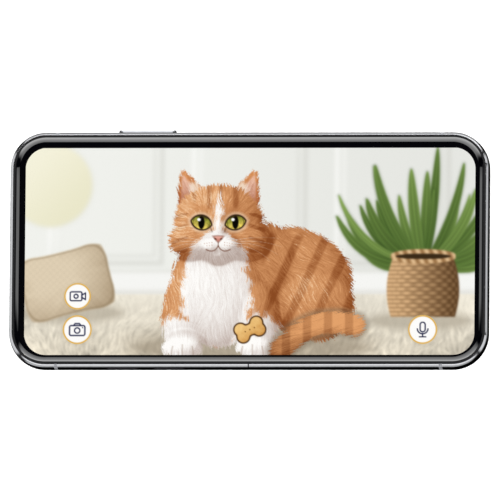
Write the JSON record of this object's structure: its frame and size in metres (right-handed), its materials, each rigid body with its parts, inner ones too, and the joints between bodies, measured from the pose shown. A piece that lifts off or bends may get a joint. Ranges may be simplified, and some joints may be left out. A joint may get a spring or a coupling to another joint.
{
  "type": "smartphone",
  "caption": "Slim rounded smartphone in landscape: glass front and back on a split steel frame with bright bezel, sprung keys, SIM tray, charging port and twin rear camera.",
  "frame": {"origin": "middle of the rear glass's flat outer face", "axes": "+X along the length towards the charging port, +Y across towards the side key, +Z out of the display; the phone lies on its back"},
  "size_m": [0.144, 0.0723, 0.0088],
  "materials": {
    "black_steel": "black PVD-coated stainless steel, satin polished",
    "bright_steel": "polished stainless steel",
    "antenna_polymer": "moulded polymer, polished flush",
    "cover_glass": "chemically toughened glass, polished",
    "seal": "moulded black elastomer",
    "display": "lit OLED panel with a black border",
    "plain_steel": "stamped stainless steel",
    "rear_glass": "toughened glass, black ink behind",
    "chassis": "stamped and milled aluminium",
    "screw_steel": "machined steel screws",
    "circuit_board": "solder-masked glass-epoxy board",
    "chip": "moulded chip packages",
    "battery_pouch": "laminated aluminium pouch",
    "tape": "stretch-release tape",
    "flex": "polyimide flexible circuit",
    "copper": "enamelled copper winding",
    "ferrite": "ferrite-filled sheet",
    "port_shell": "drawn stainless steel",
    "tongue": "moulded contact tongue",
    "speaker_case": "moulded speaker box",
    "mesh": "woven acoustic mesh",
    "tungsten": "sintered tungsten",
    "plateau": "black PVD-coated steel, satin",
    "lens_glass": "coated sapphire",
    "flash": "moulded light pipe",
    "camera_module": "blackened module housing",
    "switch": "dome switch on its bracket",
    "sim_card": "printed card"
  },
  "bodies": {
    "phone": {"upper_rail": "black_steel", "lower_rail": "black_steel", "left_end_band": "black_steel", "right_end_band": "black_steel", "antenna_breaks": "antenna_polymer", "bezel_ring": "bright_steel", "port_screws": "screw_steel", "cover_glass": "cover_glass", "display_gasket": "seal", "display_panel": "display", "display_plate": "plain_steel", "display_flex": "flex", "rear_glass": "rear_glass", "rear_gasket": "seal", "chassis_plate": "chassis", "chassis_screws": "screw_steel", "logic_board": "circuit_board", "board_chips": "chip", "board_shields": "plain_steel", "battery": "battery_pouch", "battery_tape": "tape", "battery_flex": "flex", "charging_coil": "copper", "coil_ferrite": "ferrite", "dock_board": "circuit_board", "charge_port": "port_shell", "charge_port_tongue": "tongue", "loudspeaker": "speaker_case", "speaker_mesh": "mesh", "earpiece_speaker": "speaker_case", "haptic_motor_case": "plain_steel", "camera_plateau": "plateau", "camera_lenses": "lens_glass", "flash_lens": "flash", "rear_camera_housing": "camera_module", "side_key_switch": "switch", "volume_key_switches": "switch", "sim_reader": "plain_steel"},
    "side_key": {"side_key": "bright_steel"},
    "volume_up_key": {"volume_up_key": "black_steel"},
    "volume_down_key": {"volume_down_key": "black_steel"},
    "sim_tray": {"sim_tray": "black_steel", "sim_card": "sim_card"},
    "haptic_mass": {"haptic_mass": "tungsten"},
    "main_camera_barrel": {"main_camera_barrel": "camera_module"},
    "zoom_camera_barrel": {"zoom_camera_barrel": "camera_module"}
  },
  "joints": [
    {"name": "side_key_press", "type": "slide", "parent": "phone", "child": "side_key", "axis": [0, -1, 0], "range_m": [0, 0.0003], "stiffness_N_per_m": 2000},
    {"name": "volume_up_press", "type": "slide", "parent": "phone", "child": "volume_up_key", "axis": [0, 1, 0], "range_m": [0, 0.0003], "stiffness_N_per_m": 2000},
    {"name": "volume_down_press", "type": "slide", "parent": "phone", "child": "volume_down_key", "axis": [0, 1, 0], "range_m": [0, 0.0003], "stiffness_N_per_m": 2000},
    {"name": "sim_tray_slide", "type": "slide", "parent": "phone", "child": "sim_tray", "axis": [0, 1, 0], "range_m": [0, 0.015]},
    {"name": "haptic_mass_swing", "type": "slide", "parent": "phone", "child": "haptic_mass", "axis": [0, 1, 0], "range_m": [-0.0006, 0.0006], "stiffness_N_per_m": 4700},
    {"name": "main_camera_focus", "type": "slide", "parent": "phone", "child": "main_camera_barrel", "axis": [0, 0, -1], "range_m": [0, 0.00025], "stiffness_N_per_m": 300},
    {"name": "zoom_camera_focus", "type": "slide", "parent": "phone", "child": "zoom_camera_barrel", "axis": [0, 0, -1], "range_m": [0, 0.00025], "stiffness_N_per_m": 300}
  ]
}
